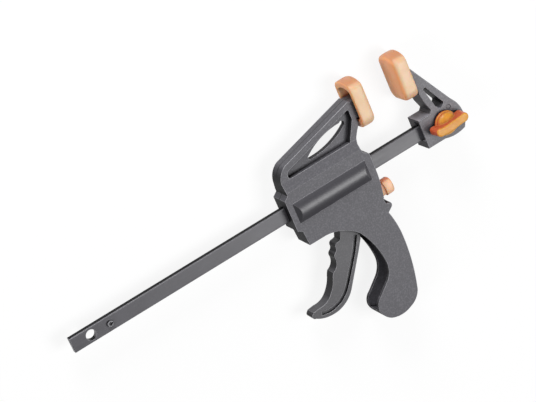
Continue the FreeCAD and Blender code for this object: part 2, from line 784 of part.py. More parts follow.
# Screws of the shell, driven from the side away from the knob
def make_shell_screws():
    solids = []
    for shares in SCREW_SHARES:
        x, y = head_point(*shares)
        head = doc.addObject("Part::Cylinder", "screw_head")
        head.setExpression("Radius", formula("shell_screw_head_diameter / 2"))
        head.setExpression("Height", formula("shell_screw_head_height - shell_screw_clearance"))
        head.setExpression("Placement.Base.z", formula("-body_half_thickness"))
        shank = doc.addObject("Part::Cylinder", "screw_shank")
        shank.setExpression("Radius", formula("shell_screw_diameter / 2"))
        shank.setExpression("Height", formula("shell_screw_length"))
        shank.setExpression("Placement.Base.z", formula("-body_half_thickness"))
        drive = doc.addObject("Part::Box", "screw_drive")
        drive.setExpression("Length", formula("0.6 * shell_screw_head_diameter"))
        drive.setExpression("Width", formula("0.14 * shell_screw_head_diameter"))
        drive.setExpression("Height", formula("0.5 * shell_screw_head_height"))
        drive.setExpression("Placement.Base.z", formula("-body_half_thickness"))
        for piece in (head, shank):
            piece.setExpression("Placement.Base.x", formula(x))
            piece.setExpression("Placement.Base.y", formula(y))
        drive.setExpression("Placement.Base.x", formula(f"{x} - 0.3 * shell_screw_head_diameter"))
        drive.setExpression("Placement.Base.y", formula(f"{y} - 0.07 * shell_screw_head_diameter"))
        whole = doc.addObject("Part::Fuse", "screw_body")
        whole.Base = head
        whole.Tool = shank
        screw = doc.addObject("Part::Cut", "screw")
        screw.Base = whole
        screw.Tool = drive
        solids.append(screw)
    group = doc.addObject("Part::Compound", "housing_screws")
    group.Links = solids
    group.Label = "housing_screws"
    subparts.append(group)


# Trigger: three finger hollows at the rear, a finger at the top that pushes the plates
TRIGGER_SHARES = [
    (0.640, -0.300),
    (0.592, -0.398),
    (0.519, -0.468),
    (0.396, -0.578),
    (0.291, -0.672),
    (0.228, -0.711, 0.164, -0.735),
    (0.088, -0.750, -0.013, -0.751),
    (-0.110, -0.735, -0.170, -0.713),
    (-0.199, -0.695, -0.191, -0.680),
    (-0.170, -0.668),
    (-0.100, -0.663),
    (-0.021, -0.659, 0.048, -0.635),
    (0.103, -0.598, 0.150, -0.548),
    (0.166, -0.523, 0.186, -0.502),
    (0.252, -0.466, 0.264, -0.424),
    (0.266, -0.406, 0.286, -0.392),
    (0.306, -0.380, 0.313, -0.358),
    (0.325, -0.341, 0.358, -0.335),
    (0.390, -0.330),
    (0.415, -0.288),
]
GROOVE_SHARES = [
    (0.557, -0.358),
    (0.473, -0.451),
    (0.367, -0.544),
    (0.278, -0.621),
    (0.212, -0.668),
    (0.140, -0.698),
    (0.060, -0.713),
    (-0.017, -0.715),
    (-0.095, -0.704),
]


def make_trigger():
    body = new_body("trigger")
    nose_x = f"({PIVOT_X} + trigger_nose_radius + contact_gap)"
    nose_y = f"({PIVOT_Y} + trigger_finger_rise)"
    hub = "trigger_hub_radius"
    corners = [(f"{PIVOT_X} + {hub}", f"{PIVOT_Y} + 0.3 * {hub}")]
    corners += head_points(TRIGGER_SHARES)
    corners += [
        (f"{PIVOT_X} - 0.98 * {hub}", f"{PIVOT_Y} - 0.2 * {hub}"),
        (f"{PIVOT_X} - 0.7071 * {hub}", f"{PIVOT_Y} + 0.7071 * {hub}",
         f"{nose_x} - trigger_nose_radius", f"{PIVOT_Y} + {hub}"),
        (f"{nose_x} - trigger_nose_radius", nose_y),
        (nose_x, f"{nose_y} + trigger_nose_radius", f"{nose_x} + trigger_nose_radius", nose_y),
    ]
    side = new_sketch(body)
    outline(side, corners)
    pad(body, side, "2 * trigger_half_thickness", symmetric=True)
    bore = new_sketch(body)
    circle(bore, PIVOT_X, PIVOT_Y, "trigger_pin_diameter / 2 + pin_clearance")
    pocket(body, bore, "2 * trigger_half_thickness + overrun", symmetric=True)
    for side_sign in (1, -1):
        groove = new_sketch(body, "XY", f"{side_sign} * trigger_half_thickness")
        outline(groove, groove_corners())
        pocket(body, groove, "trigger_groove_depth", reverse=side_sign < 0)
    return body


def groove_corners():
    """A band of the groove's width along the places of its centre line."""
    places = [tuple(number(text) for text in head_point(*row)) for row in GROOVE_SHARES]
    normals = []
    for index in range(len(places)):
        before = places[max(index - 1, 0)]
        after = places[min(index + 1, len(places) - 1)]
        run = Vector(after[0] - before[0], after[1] - before[1], 0).normalize()
        normals.append((round(-run.y, 4), round(run.x, 4)))
    edge = []
    for side_sign in (0.5, -0.5):
        rows = [(f"{head_point(*row)[0]} + {side_sign * normal[0]} * trigger_groove_width",
                 f"{head_point(*row)[1]} + {side_sign * normal[1]} * trigger_groove_width")
                for row, normal in zip(GROOVE_SHARES, normals)]
        edge += rows if side_sign > 0 else rows[::-1]
    return edge


def make_trigger_pin():
    body = new_body("trigger_pin")
    reach = f"({CAVITY_HALF} + pin_seat_depth - pin_clearance)"
    disc = new_sketch(body)
    circle(disc, PIVOT_X, PIVOT_Y, "trigger_pin_diameter / 2")
    pad(body, disc, f"2 * {reach}", symmetric=True)


# Drive plates: two alike, held square on the bar
def make_drive_plate(label, front):
    body = new_body(label)
    face = new_sketch(body, "YZ", f"{front} - drive_plate_thickness")
    rectangle(face, "-drive_plate_drop", "-plate_half_width", "drive_plate_rise",
              "plate_half_width")
    rectangle(face, "-bar_width / 2 - plate_clearance", "-bar_thickness / 2 - plate_clearance",
              "bar_width / 2 + plate_clearance", "bar_thickness / 2 + plate_clearance")
    pad(body, face, "drive_plate_thickness")


def tangent_arc(start, corner, end):
    """The arc that leaves start towards corner and reaches end from corner, legs being equal."""
    leg = (corner - start).Length
    half_turn = (corner - start).getAngle(end - corner) / 2
    radius = leg / math.tan(half_turn)
    sag = radius / math.cos(half_turn) - radius
    inward = ((start + end) * 0.5 - corner).normalize()
    return Part.Arc(start, corner + inward * sag, end).toShape()


def biarc(start, out, end, into):
    """Two arcs from start to end that keep the directions at both."""
    chord = end - start
    turn = 2 * (1 - out.dot(into))
    along = chord.dot(out + into)
    leg = (math.sqrt(along * along + turn * chord.dot(chord)) - along) / turn
    first = start + out * leg
    second = end - into * leg
    middle = (first + second) * 0.5
    return [tangent_arc(start, first, middle), tangent_arc(middle, second, end)]


def make_spring(label, rear, front, wire, turns):
    """A coil round the bar between two seats, as one tube along half-turn biarcs."""
    thickness = number(wire)
    radius = number(BAR_HALF_DIAGONAL) + number("spring_bar_gap") + thickness / 2
    run = number(front) - number(rear) - 2 * number("spring_seat_gap") - thickness
    halves = round(2 * number(turns))
    rise = run / (halves * math.pi)

    def place(angle):
        return Vector(rise * angle, radius * math.cos(angle), radius * math.sin(angle))

    def heading(angle):
        return Vector(rise, -radius * math.sin(angle), radius * math.cos(angle)).normalize()

    edges = []
    for half in range(halves):
        here, there = half * math.pi, (half + 1) * math.pi
        edges += biarc(place(here), heading(here), place(there), heading(there))
    path = Part.Wire(edges)
    section = Part.Wire(Part.Circle(place(0), heading(0), thickness / 2).toShape())
    coil = doc.addObject("Part::Feature", label)
    coil.Shape = path.makePipeShell([section], True, False)
    coil.Placement = Placement(
        Vector(number(rear) + number("spring_seat_gap") + thickness / 2, 0, 0), Rotation())
    coil.Label = label
    subparts.append(coil)
    print(label, "gap between turns", round(run / number(turns) - thickness, 2))


# Brake: a steel plate round the bar with the release button on its lower end
def brake_turn():
    """The plate and its button lean forward about the plate's top edge when they hold."""
    pivot = Vector(number(BRAKE_X), number("brake_pivot_rise"), 0)
    return Placement(Vector(0, 0, 0), Rotation(Vector(0, 0, 1), number("brake_tilt")), pivot)


def make_brake_plate():
    body = new_body("brake_plate")
    face = new_sketch(body, "YZ", BRAKE_REAR)
    outline(face, [
        ("-foot_drop / 2 + plate_corner", "-plate_half_width"),
        ("brake_pivot_rise", "-plate_half_width"),
        ("brake_pivot_rise", "plate_half_width"),
        ("-foot_drop / 2 + plate_corner", "plate_half_width"),
        ("-foot_drop / 2 + plate_corner", "brake_tab_half_width"),
        ("-brake_plate_drop", "brake_tab_half_width"),
        ("-brake_plate_drop", "-brake_tab_half_width"),
        ("-foot_drop / 2 + plate_corner", "-brake_tab_half_width"),
    ])
    slack = (f"((bar_width / 2 + plate_clearance) / cos(brake_tilt * 1 deg)"
             f" + brake_plate_thickness / 2 * tan(brake_tilt * 1 deg))")
    rectangle(face, f"-{slack}", "-bar_thickness / 2 - plate_clearance", slack,
              "bar_thickness / 2 + plate_clearance")
    pad(body, face, "brake_plate_thickness")
    body.Placement = brake_turn()


BUTTON_LEVEL = "(-0.2055 * grip_drop)"
BUTTON_NECK = f"({HEAD_FRONT} + 0.005 * head_length)"


def button_slot():
    """The low and high edge of the slot that the button's neck passes through."""
    middle = "(-0.198 * grip_drop)"
    half = "(button_neck_height / 2 + 2 * button_slot_gap)"
    return f"{middle} - {half}", f"{middle} + {half}"


def make_release_button():
    body = new_body("release_button")
    neck_high = f"({BUTTON_LEVEL} + button_neck_height / 2)"
    neck_low = f"({BUTTON_LEVEL} - button_neck_height / 2)"
    cap_rear = f"({BUTTON_NECK})"
    clip_half = "(brake_plate_thickness / 2 + button_clip_wall)"
    stem = new_sketch(body)
    rectangle(stem, f"{BRAKE_X} - {clip_half}", neck_low, cap_rear, neck_high)
    pad(body, stem, "2 * button_neck_half_width", symmetric=True)
    clip = new_sketch(body)
    rectangle(clip, f"{BRAKE_X} - {clip_half}", neck_low, f"{BRAKE_X} + {clip_half}", neck_high)
    pad(body, clip, "2 * (brake_tab_half_width + button_clip_wall)", symmetric=True)
    cap = new_sketch(body, "YZ", cap_rear)
    half = "button_cap_height / 2"
    wide = "button_cap_half_width"
    outline(cap, [
        (f"{BUTTON_LEVEL} + 0.2 * {half}", f"-{wide}"),
        (f"{BUTTON_LEVEL} + {half}", "0", f"{BUTTON_LEVEL} + 0.2 * {half}", wide),
        (f"{BUTTON_LEVEL} - 0.2 * {half}", wide),
        (f"{BUTTON_LEVEL} - {half}", "0", f"{BUTTON_LEVEL} - 0.2 * {half}", f"-{wide}"),
    ])
    pad(body, cap, "button_cap_length")
    round_edges(body, edges_at(body.Shape, "X", f"{cap_rear} + button_cap_length"), "button_round")
    slit = new_sketch(body)
    rectangle(slit, f"{BRAKE_REAR} - seat_gap", "-brake_plate_drop - seat_gap",
              f"{BRAKE_REAR} + brake_plate_thickness + seat_gap", f"{neck_high} + overrun")
    pocket(body, slit, "2 * (brake_tab_half_width + seat_gap)", symmetric=True)
    body.Placement = brake_turn()


make_bar()
make_stop_pin()
make_fixed_jaw()
make_jaw_nut()
make_knob_washer()
make_knob_screw()
make_jaw_knob()
make_pad("fixed_jaw_pad", FIXED_BACK, FIXED_FACE)
make_pad("moving_jaw_pad", MOVING_BACK, MOVING_FACE)
make_shell("housing_near", 1)
make_shell("housing_far", -1)
make_shell_screws()
make_trigger_pin()
make_trigger()
make_drive_plate("drive_plate_front", DRIVE_FRONT)
make_drive_plate("drive_plate_rear", f"({DRIVE_FRONT} - drive_plate_thickness)")
make_spring("drive_spring", CHAMBER_REAR, DRIVE_REAR, "drive_wire", "drive_turns")
make_spring("brake_spring", PARTITION_FRONT, BRAKE_REAR, "brake_wire", "brake_turns")
make_brake_plate()
make_release_button()
doc.recompute()

for item in doc.Objects:
    faults = [word for word in item.State if word in ("Invalid", "Error")]
    if faults:
        raise RuntimeError(f"{item.Label} is {faults}")
os.makedirs("parts", exist_ok=True)
for item in subparts:
    if item.Shape.isNull() or not item.Shape.isValid() or not item.Shape.Solids:
        raise RuntimeError(f"{item.Label} has no valid solid")
    item.Shape.exportStep(f"parts/{item.Label}.step")
    print(item.Label, len(item.Shape.Solids), round(item.Shape.Volume, 1))
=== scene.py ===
import bmesh
import bpy
import math
from mathutils import Matrix, Vector


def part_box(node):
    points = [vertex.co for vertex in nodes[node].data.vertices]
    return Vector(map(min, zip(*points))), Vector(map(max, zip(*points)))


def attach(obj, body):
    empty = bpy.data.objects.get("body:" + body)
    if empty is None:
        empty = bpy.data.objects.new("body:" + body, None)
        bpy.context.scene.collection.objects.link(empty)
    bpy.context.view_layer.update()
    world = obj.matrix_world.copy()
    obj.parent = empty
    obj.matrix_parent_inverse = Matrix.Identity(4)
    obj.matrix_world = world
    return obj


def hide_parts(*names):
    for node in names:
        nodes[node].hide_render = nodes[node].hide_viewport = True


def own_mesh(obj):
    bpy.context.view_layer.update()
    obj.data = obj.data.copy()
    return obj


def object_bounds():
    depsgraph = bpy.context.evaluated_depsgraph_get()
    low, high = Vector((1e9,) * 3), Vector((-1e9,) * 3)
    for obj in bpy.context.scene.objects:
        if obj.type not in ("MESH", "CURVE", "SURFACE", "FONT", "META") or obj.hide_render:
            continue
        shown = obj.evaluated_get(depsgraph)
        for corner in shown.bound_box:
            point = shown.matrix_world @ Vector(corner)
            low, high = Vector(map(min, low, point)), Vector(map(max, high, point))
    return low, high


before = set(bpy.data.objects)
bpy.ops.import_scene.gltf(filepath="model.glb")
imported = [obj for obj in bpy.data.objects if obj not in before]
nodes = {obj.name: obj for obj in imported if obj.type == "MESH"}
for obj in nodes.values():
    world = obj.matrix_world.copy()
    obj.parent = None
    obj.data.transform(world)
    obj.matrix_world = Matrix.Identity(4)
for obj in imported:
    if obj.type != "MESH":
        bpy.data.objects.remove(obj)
cad_box = [list(corner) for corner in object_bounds()]
MM = 0.001


def tone(red, green, blue):
    """A colour written as 0 to 255 per channel, turned by the sRGB curve to what shaders read."""
    def linear(value):
        share = value / 255
        return share / 12.92 if share <= 0.04045 else ((share + 0.055) / 1.055) ** 2.4
    return (linear(red), linear(green), linear(blue), 1.0)


def scaled(colour, share):
    """A colour with its light scaled by a share, which may be over 1."""
    return tuple(share * channel for channel in colour[:3]) + (1.0,)


# How far a place looks for what encloses it, and how many rays the rounding and that look take.
OPEN_REACH = 3.5 * MM
EDGE_SAMPLES = 6

# Moulded plastic. Noise scales are per metre, shares and ramps run from 0 to 1.
MOULD_EDGE = 0.55 * MM
MOULD_GRAIN = 950.0
MOULD_GRAIN_DEPTH = 0.05 * MM
MOULD_CLOUDS = 40.0
MOULD_WEAR = 240.0
MOULD_SHEEN = 180.0
CLOUD_LIGHT = 0.96
SPECK_LIGHT = 1.65
SPECK_SHARE = 0.80
# How far outer edges take the pale colour of wear and painted highlight.
EDGE_WEAR_AND_HIGHLIGHT_SHARE = 0.85
WORN_GLOSS = 0.14
RIB_RUN = 0.35
RIB_LIGHT = 0.62
RIB_SHARE = 0.80
RIB_GLOSS = 0.22
RIB_GRAIN = 0.25
SEAM_HALF = 0.18 * MM
SEAM_FADE = 0.50 * MM
MARK_HALF = 0.10 * MM
MARK_FADE = 0.32 * MM
MARK_LIGHT = 0.45
# Pale outer edges: wear, and a painted highlight.
EDGE_WEAR_AND_HIGHLIGHT = tone(200, 199, 204)
SEAM_DARK = tone(8, 8, 9)
MARK_DARK = tone(20, 20, 21)
# Painted shade for corners and recesses.
CORNER_PAINTED_SHADE = tone(14, 14, 15)

# Orange plastic and rubber.
ORANGE_EDGE = 0.5 * MM
ORANGE_DUST = tone(240, 214, 186)
ORANGE_SCATTER = (1.0, 0.40, 0.15)

# Steel and painted steel.
STEEL_EDGE = 0.15 * MM
STEEL_MARK_DEPTH = 0.01 * MM
# Darker steel for stains and for painted shade in corners.
STEEL_STAIN_AND_SHADE = 0.55
PAINT_EDGE = 0.65 * MM
PAINT_MARK_DEPTH = 0.008 * MM
PAINT_DARK = tone(77, 76, 80)
PAINT_PALE = tone(84, 83, 88)
PAINT_LINE = tone(92, 91, 96)
PAINT_SCUFF = tone(120, 119, 124)
# The bar's narrow sides painted near black as painted shade; pale edges as wear and painted
# highlight; dark corners as painted shade.
PAINT_SIDE_SHADE = tone(13, 13, 15)
PAINT_EDGE_WEAR_AND_HIGHLIGHT = tone(150, 149, 155)
PAINT_CORNER_SHADE = tone(22, 22, 24)


class Nodes:
    """Short ways to write a material's nodes and links."""

    # The colour sockets of a Mix node share their names with its other kinds.
    MIX_COLOURS = (6, 7)
    MIX_RESULT = 2

    def __init__(self, name):
        self.material = bpy.data.materials.new(name)
        self.material.use_nodes = True
        self.tree = self.material.node_tree
        self.shader = self.tree.nodes["Principled BSDF"]
        self.place = self.add("ShaderNodeTexCoord").outputs["Object"]

    def add(self, kind, **values):
        node = self.tree.nodes.new(kind)
        for key, value in values.items():
            if hasattr(node, key):
                setattr(node, key, value)
            else:
                node.inputs[key.replace("_", " ")].default_value = value
        return node

    def link(self, source, target):
        self.tree.links.new(source, target)

    def set(self, socket, value):
        self.shader.inputs[socket].default_value = value

    def noise(self, scale, detail, stretch=None, distortion=0.0):
        """Noise at a scale per metre, stretched by a factor per axis where one is given."""
        place = self.place
        if stretch is not None:
            mapping = self.add("ShaderNodeMapping")
            mapping.inputs["Scale"].default_value = stretch
            self.link(place, mapping.inputs["Vector"])
            place = mapping.outputs["Vector"]
        node = self.add("ShaderNodeTexNoise", Scale=scale, Detail=detail, Distortion=distortion)
        self.link(place, node.inputs["Vector"])
        return node.outputs["Fac"]

    def ramp(self, value, low, high, out_low=0.0, out_high=1.0):
        """A value's run from low to high turned into a run between the two out values."""
        node = self.add("ShaderNodeMapRange")
        node.inputs["From Min"].default_value = low
        node.inputs["From Max"].default_value = high
        node.inputs["To Min"].default_value = out_low
        node.inputs["To Max"].default_value = out_high
        self.link(value, node.inputs["Value"])
        return node.outputs["Result"]

    def mix(self, share, first, second):
        """The first colour where the share is 0, the second where it is 1."""
        node = self.add("ShaderNodeMix", data_type="RGBA")
        for socket, value in zip(self.MIX_COLOURS, (first, second)):
            if isinstance(value, tuple):
                node.inputs[socket].default_value = value
            else:
                self.link(value, node.inputs[socket])
        self.link(share, node.inputs[0])
        return node.outputs[self.MIX_RESULT]

    def maths(self, operation, first, second):
        node = self.add("ShaderNodeMath", operation=operation)
        for socket, value in enumerate((first, second)):
            if isinstance(value, float):
                node.inputs[socket].default_value = value
            else:
                self.link(value, node.inputs[socket])
        return node.outputs[0]

    def size(self, value):
        return self.maths("ABSOLUTE", value, 0.0)

    def edges(self, radius, reach=OPEN_REACH):
        """A rounded normal, a mask of the outer edges it rounds, and how open each place is."""
        bevel = self.add("ShaderNodeBevel", samples=EDGE_SAMPLES, Radius=radius)
        geometry = self.add("ShaderNodeNewGeometry")
        dot = self.add("ShaderNodeVectorMath", operation="DOT_PRODUCT")
        self.link(bevel.outputs["Normal"], dot.inputs[0])
        self.link(geometry.outputs["Normal"], dot.inputs[1])
        open_share = self.add("ShaderNodeAmbientOcclusion", samples=EDGE_SAMPLES,
                              Distance=reach).outputs["AO"]
        outer = self.maths("MULTIPLY", self.ramp(dot.outputs["Value"], 0.998, 0.92),
                           self.ramp(open_share, 0.80, 0.97))
        return bevel.outputs["Normal"], outer, open_share

    def split(self, vector):
        node = self.add("ShaderNodeSeparateXYZ")
        self.link(vector, node.inputs[0])
        return node.outputs

    def height(self):
        """The distance from the middle plane of the object, along Z, in metres."""
        return self.size(self.split(self.place)["Z"])

    def facing(self, axis, way=0.0):
        """How squarely a face looks along one axis, 0 to 1: either way, or 1.0 or -1.0 of it."""
        normal = self.split(self.add("ShaderNodeNewGeometry").outputs["Normal"])
        if way:
            return self.maths("MULTIPLY", normal[axis], way)
        return self.size(normal[axis])

    def ring(self, x, y, radius):
        """0 on a thin round line about a point of the XY plane, all in mm, and 1 off it."""
        place = self.split(self.place)
        flat = self.add("ShaderNodeCombineXYZ")
        self.link(place["X"], flat.inputs["X"])
        self.link(place["Y"], flat.inputs["Y"])
        away = self.add("ShaderNodeVectorMath", operation="DISTANCE")
        self.link(flat.outputs[0], away.inputs[0])
        away.inputs[1].default_value = (x * MM, y * MM, 0.0)
        offset = self.maths("SUBTRACT", away.outputs["Value"], radius * MM)
        return self.ramp(self.size(offset), MARK_HALF, MARK_FADE)

    def bump(self, height, distance, normal):
        node = self.add("ShaderNodeBump", Strength=1.0, Distance=distance)
        self.link(height, node.inputs["Height"])
        self.link(normal, node.inputs["Normal"])
        return node.outputs["Normal"]


def moulded(name, colour, rough, corner_shade_floor=0.0, reach=OPEN_REACH, end=0.12, top=None, seam=False,
            polished=None, mark=None):
    """Moulded plastic: spark-eroded grain, outer edges paler with wear and a painted highlight,
    painted shade in corners, and painted shade on the end faces that look back along the bar.
    Where asked: a top painted paler as a painted highlight, the parting line of two halves, a
    smooth polished rib beyond a height in mm, and an ejector's round mark."""
    m = Nodes(name)
    normal, outer, open_share = m.edges(MOULD_EDGE, reach)
    fine = m.noise(MOULD_GRAIN, 4.0)
    # Outer edges: wear noise on the edge mask, painted pale below as wear and a painted
    # highlight.
    edge_wear_and_highlight = m.maths("MULTIPLY", outer, m.ramp(m.noise(MOULD_WEAR, 4.0), 0.30, 0.60, 0.6, 1.0))

    clouds = m.ramp(m.noise(MOULD_CLOUDS, 5.0, distortion=0.4), 0.30, 0.70)
    base = m.mix(clouds, scaled(colour, CLOUD_LIGHT), colour)
    speck = m.mix(m.ramp(fine, 0.46, 0.70, 0.0, SPECK_SHARE), base, scaled(colour, SPECK_LIGHT))
    colour_with_painted_light = m.mix(m.maths("MULTIPLY", edge_wear_and_highlight, EDGE_WEAR_AND_HIGHLIGHT_SHARE), speck, EDGE_WEAR_AND_HIGHLIGHT)
    rough_value = m.ramp(m.noise(MOULD_SHEEN, 3.0), 0.3, 0.7, rough - 0.02, rough + 0.02)
    rough_value = m.maths("SUBTRACT", rough_value, m.maths("MULTIPLY", edge_wear_and_highlight, WORN_GLOSS))
    grain_height = fine

    if polished is not None:
        rib = m.ramp(m.height(), polished * MM, (polished + RIB_RUN) * MM)
        colour_with_painted_light = m.mix(m.maths("MULTIPLY", rib, RIB_SHARE), colour_with_painted_light, scaled(colour, RIB_LIGHT))
        rough_value = m.maths("SUBTRACT", rough_value, m.maths("MULTIPLY", rib, RIB_GLOSS))
        grain_height = m.maths("MULTIPLY", fine, m.ramp(rib, 0.0, 1.0, 1.0, RIB_GRAIN))
    # Painted shade: faces that look back along the bar (-X), away from the lamps, darkened by the
    # end share.
    back = m.maths("MULTIPLY", m.ramp(m.facing("X", -1.0), 0.50, 0.90), 0.95)
    colour_with_painted_light = m.mix(back, colour_with_painted_light, scaled(colour, end))
    # Where asked, a painted highlight: upward faces painted paler by the top share.
    if top is not None:
        upper = m.ramp(m.facing("Y", 1.0), 0.90, 0.98, 0.0, 0.9)
        colour_with_painted_light = m.mix(upper, colour_with_painted_light, scaled(colour, top))
    if seam:
        colour_with_painted_light = m.mix(m.ramp(m.height(), SEAM_HALF, SEAM_FADE), SEAM_DARK, colour_with_painted_light)
    if mark is not None:
        colour_with_painted_light = m.mix(m.maths("MAXIMUM", m.ring(*mark), MARK_LIGHT), MARK_DARK, colour_with_painted_light)

    # Painted shade: corners and recesses darkened by how enclosed they are.
    corner = m.ramp(open_share, 0.30, 0.80, corner_shade_floor, 1.0)
    m.link(m.mix(corner, CORNER_PAINTED_SHADE, colour_with_painted_light), m.shader.inputs["Base Color"])
    m.link(rough_value, m.shader.inputs["Roughness"])
    m.link(m.bump(grain_height, MOULD_GRAIN_DEPTH, normal), m.shader.inputs["Normal"])
    gloss = m.maths("MAXIMUM", m.ramp(m.facing("Z"), 0.45, 0.95, 0.10, 0.55),
                    m.ramp(m.facing("Y"), 0.75, 0.98, 0.10, 0.42))
    m.link(m.maths("MULTIPLY", gloss, corner), m.shader.inputs["Specular IOR Level"])
    return m


def soft_orange(name, near, side, end, mottle_and_corner_shade, rough, scatter, glow, grain=900.0, depth=0.02,
                turn=0.90, dusty=0.14, mottled=0.22, shine=0.5):
    """Translucent orange plastic, painted lit and shaded by which way each face looks: paler
    broad faces as a painted sheen, deeper sides and a set colour on its ends as painted shade and
    light, redder in its recesses as painted shade. Scatter and depth are in mm."""
    m = Nodes(name)
    normal, open_share = m.edges(ORANGE_EDGE)[::2]
    # Painted light and shade by face direction: broad faces pale as a painted sheen, sides deeper
    # and ends their own colour as painted shade and light.
    base = m.mix(m.ramp(m.facing("Z"), 0.4 * turn, turn), side, near)
    base = m.mix(m.ramp(m.facing("X"), 0.55, 0.95), base, end)
    mottle = m.ramp(m.noise(90.0, 3.0, distortion=0.5), 0.35, 0.75, 0.0, mottled)
    base = m.mix(mottle, base, mottle_and_corner_shade)
    # Painted shade in recesses, towards the darker mottle colour.
    inner = m.mix(m.ramp(open_share, 0.35, 0.95), mottle_and_corner_shade, base)
    dust = m.ramp(m.noise(150.0, 5.0), 0.58, 0.76, 0.0, dusty)
    m.link(m.mix(dust, inner, ORANGE_DUST), m.shader.inputs["Base Color"])
    m.link(m.ramp(m.noise(210.0, 4.0), 0.3, 0.7, rough - 0.08, rough + 0.08),
           m.shader.inputs["Roughness"])
    m.link(m.bump(m.noise(grain, 3.0), depth * MM, normal), m.shader.inputs["Normal"])
    m.set("Specular IOR Level", shine)
    m.set("Subsurface Weight", glow)
    m.set("Subsurface Radius", ORANGE_SCATTER)
    m.set("Subsurface Scale", scatter * MM)
    return m


def steel(name, colour, rough, grain, stretch):
    """Bare or plated steel with fine rolling marks along one axis, stains, and painted shade in
    its corners.
    """
    m = Nodes(name)
    normal, open_share = m.edges(STEEL_EDGE)[::2]
    marks = m.noise(grain, 4.0, stretch=stretch)
    stain_and_corner_shade = scaled(colour, STEEL_STAIN_AND_SHADE)
    stained = m.mix(m.ramp(m.noise(140.0, 4.0), 0.35, 0.65), stain_and_corner_shade, colour)
    # Painted shade: corners darkened towards the darker steel.
    m.link(m.mix(m.ramp(open_share, 0.25, 0.80), stain_and_corner_shade, stained), m.shader.inputs["Base Color"])
    m.link(m.ramp(marks, 0.3, 0.7, rough - 0.08, rough + 0.10), m.shader.inputs["Roughness"])
    m.link(m.bump(marks, STEEL_MARK_DEPTH, normal), m.shader.inputs["Normal"])
    m.set("Metallic", 1.0)
    return m


def painted(name):
    """Satin paint on drawn steel: faint lengthwise marks, narrow sides painted near black as
    painted shade, pale edges of wear and painted highlight, painted shade in corners.
    """
    m = Nodes(name)
    normal, outer, open_share = m.edges(PAINT_EDGE)
    lines = m.noise(900.0, 3.0, stretch=(0.05, 1.0, 1.0))
    fine = m.noise(2200.0, 2.0)
    scuffs = m.ramp(m.noise(420.0, 5.0, stretch=(0.25, 1.0, 1.0)), 0.60, 0.78)
    base = m.mix(m.ramp(m.noise(70.0, 3.0), 0.3, 0.7), PAINT_DARK, PAINT_PALE)
    base = m.mix(m.ramp(lines, 0.45, 0.75, 0.0, 0.35), base, PAINT_LINE)
    scuffed = m.mix(m.maths("MULTIPLY", scuffs, 0.10), base, PAINT_SCUFF)
    # Painted shade: the narrow sides painted near black.
    side = m.ramp(m.facing("Y"), 0.70, 0.90)
    side_shaded = m.mix(side, scuffed, PAINT_SIDE_SHADE)
    # Outer edges: wear, painted pale as a painted highlight.
    edge_wear_and_highlight = m.maths("MULTIPLY", outer, m.ramp(m.noise(90.0, 2.0), 0.30, 0.6, 0.75, 1.0))
    edge_highlit = m.mix(m.maths("MULTIPLY", edge_wear_and_highlight, 0.70), side_shaded, PAINT_EDGE_WEAR_AND_HIGHLIGHT)
    # Painted shade in corners.
    corner = m.ramp(open_share, 0.30, 0.75)
    m.link(m.mix(corner, PAINT_CORNER_SHADE, edge_highlit), m.shader.inputs["Base Color"])
    m.link(m.ramp(lines, 0.3, 0.7, 0.36, 0.46), m.shader.inputs["Roughness"])
    m.link(m.bump(m.maths("ADD", lines, fine), PAINT_MARK_DEPTH, normal),
           m.shader.inputs["Normal"])
    m.link(m.ramp(side, 0.0, 1.0, 0.5, 0.05), m.shader.inputs["Specular IOR Level"])
    return m


bar_paint = painted("bar_paint")
# Each plastic's end share paints shade on its faces that look back along the bar.
shell_plastic = moulded("shell_plastic", tone(82, 81, 86), rough=0.57, seam=True, polished=8.15)
# The jaw's top share paints its upward faces paler as a painted highlight; its end share paints
# lighter shade on its back faces.
jaw_plastic = moulded("jaw_plastic", tone(90, 89, 94), rough=0.50, end=0.45, top=3.4,
                      mark=(271.6, 8.0, 1.6))
# The trigger's painted corner shade stops short of full dark, and is judged over a longer reach.
trigger_plastic = moulded("trigger_plastic", tone(62, 61, 65), rough=0.44, corner_shade_floor=0.45,
                          reach=8.0 * MM)
# Orange finishes: the near colour is a painted sheen on broad faces; side and end colours are
# painted shade and light; the darker mottle colour is also painted shade in recesses.
pad_rubber = soft_orange(
    "pad_rubber", near=tone(224, 194, 158), side=tone(208, 144, 102), end=tone(252, 180, 122),
    mottle_and_corner_shade=tone(210, 114, 68), rough=0.46, scatter=3.5, glow=0.50, mottled=0.16)
knob_plastic = soft_orange(
    "knob_plastic", near=tone(214, 152, 54), side=tone(202, 98, 60), end=tone(200, 88, 52),
    mottle_and_corner_shade=tone(160, 62, 36), rough=0.40, scatter=1.5, glow=0.25, grain=1400.0, depth=0.008,
    turn=0.55, dusty=0.04, shine=0.32)
button_plastic = soft_orange(
    "button_plastic", near=tone(240, 196, 158), side=tone(216, 128, 94), end=tone(234, 160, 116),
    mottle_and_corner_shade=tone(226, 112, 90), rough=0.44, scatter=2.0, glow=0.35, depth=0.008, turn=0.8,
    dusty=0.03, mottled=0.06, shine=0.3)
pin_steel = steel("pin_steel", tone(128, 128, 131), rough=0.40, grain=900.0,
                  stretch=(1.0, 1.0, 0.2))
plate_steel = steel("plate_steel", tone(112, 112, 114), rough=0.42, grain=700.0,
                    stretch=(1.0, 0.15, 1.0))
spring_steel = steel("spring_steel", tone(150, 150, 154), rough=0.30, grain=1200.0,
                     stretch=(1.0, 1.0, 1.0))
zinc_steel = steel("zinc_steel", tone(186, 187, 192), rough=0.28, grain=900.0,
                   stretch=(1.0, 1.0, 0.2))

